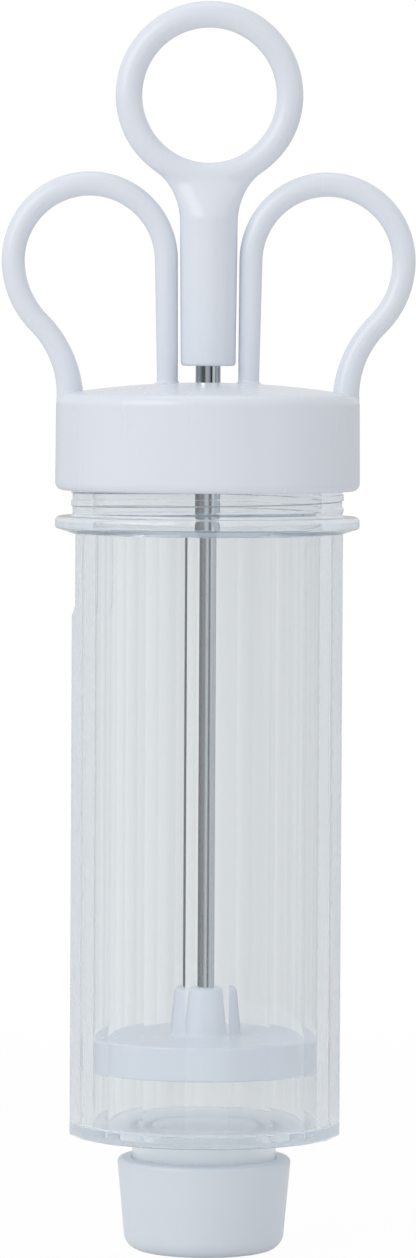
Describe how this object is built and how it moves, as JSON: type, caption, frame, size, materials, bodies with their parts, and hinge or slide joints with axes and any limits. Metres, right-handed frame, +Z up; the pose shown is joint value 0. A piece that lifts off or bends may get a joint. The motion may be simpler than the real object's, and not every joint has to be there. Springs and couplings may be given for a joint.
{
  "type": "pastry syringe",
  "caption": "Clear faceted pastry syringe with a ring-handled plunger, a screw cap with finger loops and a nut that clamps a pattern disc over the outlet.",
  "frame": {"origin": "centre of the nut's underside, where the syringe stands", "axes": "+Z up the barrel's axis towards the thumb ring, +X through both finger loops, +Y through the ring's hole"},
  "size_m": [0.0826, 0.061, 0.2502],
  "materials": {
    "white_plastic": "moulded, satin gloss",
    "clear_plastic": "clear, polished",
    "bright_steel": "bright drawn",
    "pale_metal": "stamped, satin"
  },
  "bodies": {
    "barrel": {"barrel": "clear_plastic"},
    "cap": {"screw_cap": "white_plastic"},
    "piston": {"piston": "white_plastic"},
    "plunger": {"plunger_rod": "bright_steel", "thumb_handle": "white_plastic"},
    "disc": {"pattern_disc": "pale_metal"},
    "nut": {"nozzle_nut": "white_plastic"}
  },
  "joints": [
    {"name": "cap_turn", "type": "hinge", "parent": "barrel", "child": "cap", "pos_m": [0, 0, 0.1613], "axis": [0, 0, 1], "range_deg": [0, 540]},
    {"name": "plunger_slide", "type": "slide", "parent": "cap", "child": "piston", "axis": [0, 0, 1], "range_m": [-0.003, 0.1115]},
    {"name": "handle_spin", "type": "hinge", "parent": "piston", "child": "plunger", "pos_m": [0, 0, 0.0465], "axis": [0, 0, 1], "continuous": true},
    {"name": "nut_drop", "type": "slide", "parent": "barrel", "child": "disc", "axis": [0, 0, -1], "range_m": [0, 0.0082]},
    {"name": "nut_turn", "type": "hinge", "parent": "disc", "child": "nut", "pos_m": [0, 0, 0.0093], "axis": [0, 0, -1], "range_deg": [0, 1080]}
  ],
  "couplings": [
    {"joint": "nut_drop", "follows": "nut_turn", "m_per_rad": 0.00042972}
  ]
}
